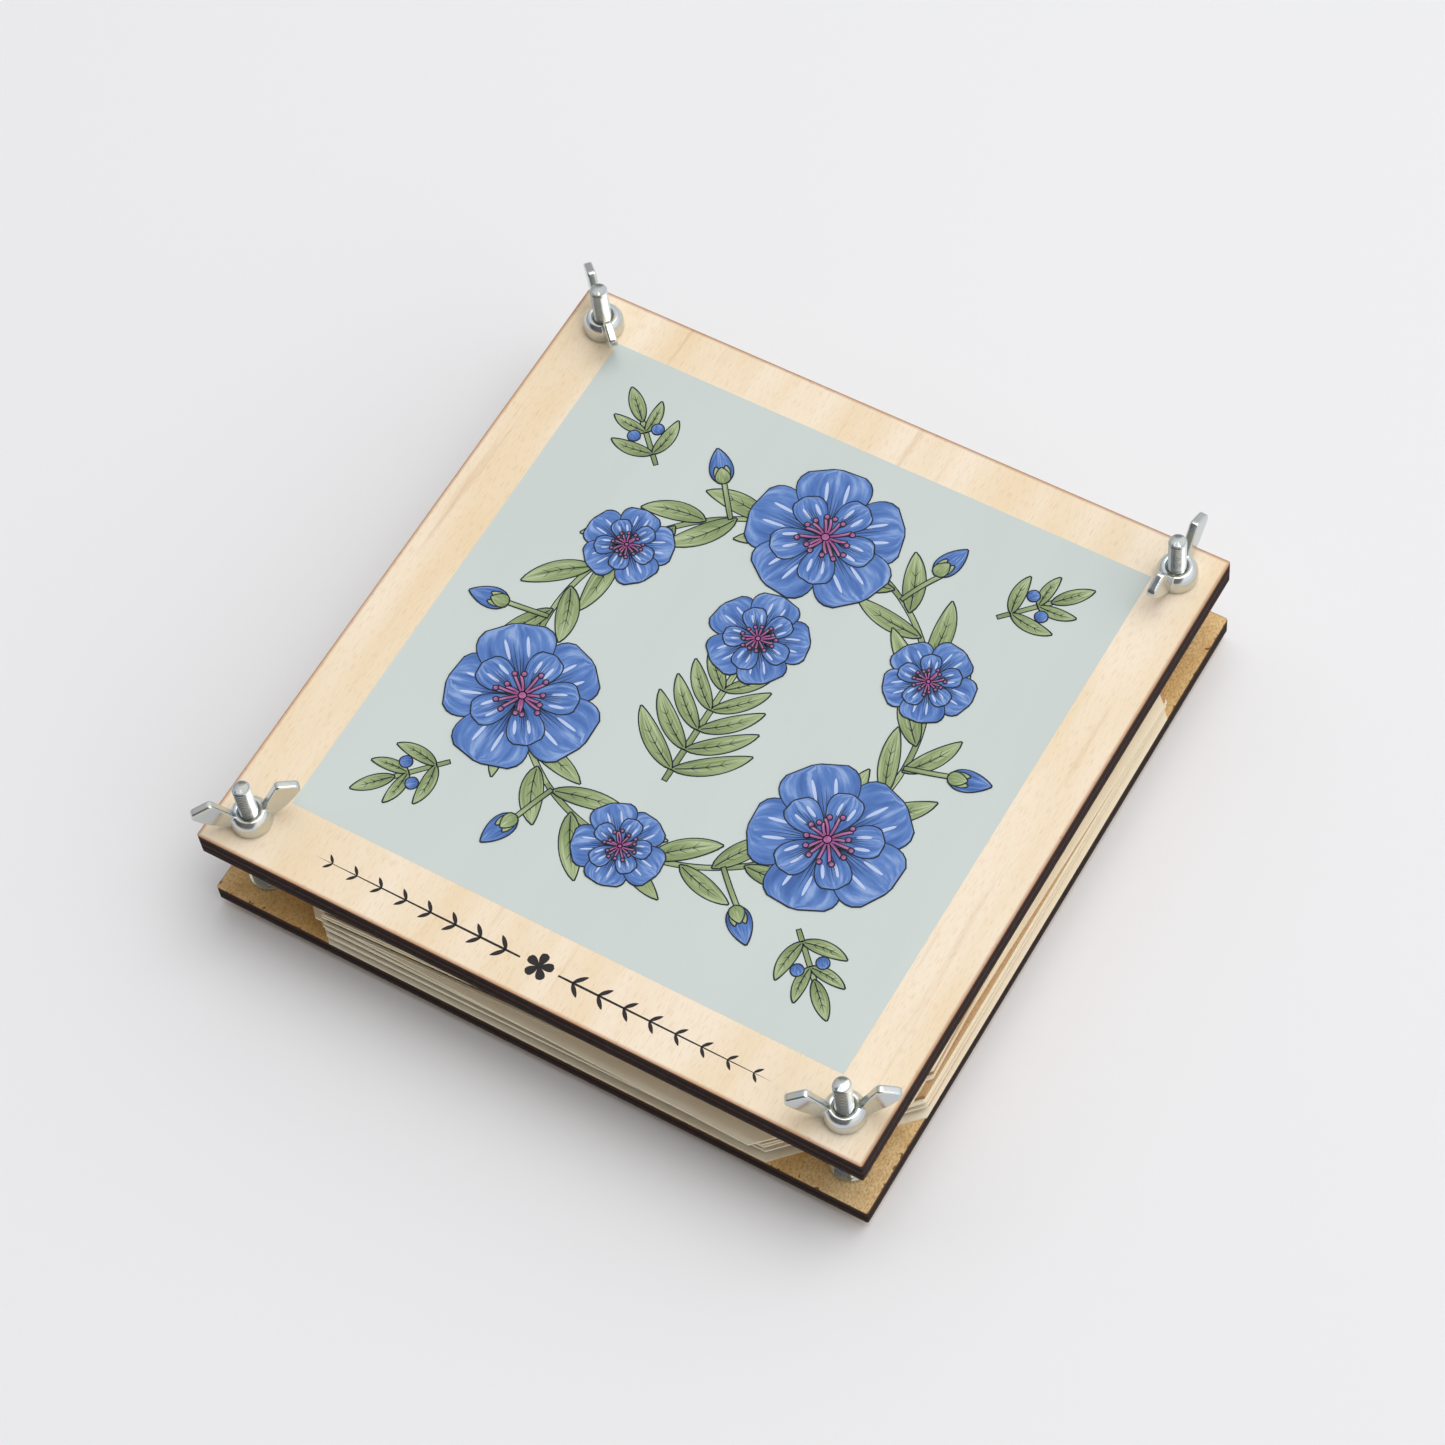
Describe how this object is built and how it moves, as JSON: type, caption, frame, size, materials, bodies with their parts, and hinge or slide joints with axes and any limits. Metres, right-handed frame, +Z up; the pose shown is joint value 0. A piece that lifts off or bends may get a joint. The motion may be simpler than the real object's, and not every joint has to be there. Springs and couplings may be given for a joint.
{
  "type": "flower press",
  "caption": "Square plywood flower press: wing nuts on corner bolts squeeze a stack of corrugated cards and blotting papers between two boards.",
  "frame": {"origin": "on the table top, under the middle of the boards", "axes": "+Z up along the bolts; +X towards the right-hand edge and -Y towards the front edge, below the caption margin of the printed face"},
  "size_m": [0.1624, 0.1642, 0.044],
  "materials": {
    "birch_plywood": "bare sanded veneer, laser-scorched edges, printed panel on the upper face",
    "zinc_plated_steel": "bright zinc plate",
    "corrugated_card": "matt, cut edges",
    "blotting_paper": "matt, soft"
  },
  "bodies": {
    "base": {"bottom_board": "birch_plywood", "bolt_front_left": "zinc_plated_steel", "washer_front_left": "zinc_plated_steel", "hex_nut_front_left": "zinc_plated_steel", "bolt_front_right": "zinc_plated_steel", "washer_front_right": "zinc_plated_steel", "hex_nut_front_right": "zinc_plated_steel", "bolt_back_right": "zinc_plated_steel", "washer_back_right": "zinc_plated_steel", "hex_nut_back_right": "zinc_plated_steel", "bolt_back_left": "zinc_plated_steel", "washer_back_left": "zinc_plated_steel", "hex_nut_back_left": "zinc_plated_steel", "paper_01": "blotting_paper", "card_1": "corrugated_card", "paper_02": "blotting_paper"},
    "leaf_2": {"paper_03": "blotting_paper", "card_2": "corrugated_card", "paper_04": "blotting_paper"},
    "leaf_3": {"paper_05": "blotting_paper", "card_3": "corrugated_card", "paper_06": "blotting_paper"},
    "leaf_4": {"paper_07": "blotting_paper", "card_4": "corrugated_card", "paper_08": "blotting_paper"},
    "leaf_5": {"paper_09": "blotting_paper", "card_5": "corrugated_card", "paper_10": "blotting_paper"},
    "leaf_6": {"paper_11": "blotting_paper", "card_6": "corrugated_card", "paper_12": "blotting_paper"},
    "lid": {"top_board": "birch_plywood"},
    "wing_nut_front_left": {"wing_nut_front_left": "zinc_plated_steel"},
    "wing_nut_front_right": {"wing_nut_front_right": "zinc_plated_steel"},
    "wing_nut_back_right": {"wing_nut_back_right": "zinc_plated_steel"},
    "wing_nut_back_left": {"wing_nut_back_left": "zinc_plated_steel"}
  },
  "joints": [
    {"name": "lid_lift", "type": "slide", "parent": "base", "child": "lid", "axis": [0, 0, 1], "range_m": [0, 0.0112]},
    {"name": "leaf_2_lift", "type": "slide", "parent": "base", "child": "leaf_2", "axis": [0, 0, 1], "range_m": [0, 0.00187]},
    {"name": "leaf_3_lift", "type": "slide", "parent": "base", "child": "leaf_3", "axis": [0, 0, 1], "range_m": [0, 0.00373]},
    {"name": "leaf_4_lift", "type": "slide", "parent": "base", "child": "leaf_4", "axis": [0, 0, 1], "range_m": [0, 0.0056]},
    {"name": "leaf_5_lift", "type": "slide", "parent": "base", "child": "leaf_5", "axis": [0, 0, 1], "range_m": [0, 0.00747]},
    {"name": "leaf_6_lift", "type": "slide", "parent": "base", "child": "leaf_6", "axis": [0, 0, 1], "range_m": [0, 0.00933]},
    {"name": "wing_nut_front_left_turn", "type": "hinge", "parent": "lid", "child": "wing_nut_front_left", "pos_m": [-0.0715, -0.0715, 0.03012], "axis": [0, 0, 1], "range_deg": [0, 5760]},
    {"name": "wing_nut_front_right_turn", "type": "hinge", "parent": "lid", "child": "wing_nut_front_right", "pos_m": [0.0715, -0.0715, 0.03012], "axis": [0, 0, 1], "range_deg": [0, 5760]},
    {"name": "wing_nut_back_right_turn", "type": "hinge", "parent": "lid", "child": "wing_nut_back_right", "pos_m": [0.0715, 0.0715, 0.03012], "axis": [0, 0, 1], "range_deg": [0, 5760]},
    {"name": "wing_nut_back_left_turn", "type": "hinge", "parent": "lid", "child": "wing_nut_back_left", "pos_m": [-0.0715, 0.0715, 0.03012], "axis": [0, 0, 1], "range_deg": [0, 5760]}
  ],
  "couplings": [
    {"joint": "leaf_2_lift", "follows": "lid_lift", "ratio": 0.16667},
    {"joint": "leaf_3_lift", "follows": "lid_lift", "ratio": 0.33333},
    {"joint": "leaf_4_lift", "follows": "lid_lift", "ratio": 0.5},
    {"joint": "leaf_5_lift", "follows": "lid_lift", "ratio": 0.66667},
    {"joint": "leaf_6_lift", "follows": "lid_lift", "ratio": 0.83333},
    {"joint": "wing_nut_front_left_turn", "follows": "lid_lift", "rad_per_m": 8976},
    {"joint": "wing_nut_front_right_turn", "follows": "lid_lift", "rad_per_m": 8976},
    {"joint": "wing_nut_back_right_turn", "follows": "lid_lift", "rad_per_m": 8976},
    {"joint": "wing_nut_back_left_turn", "follows": "lid_lift", "rad_per_m": 8976}
  ]
}
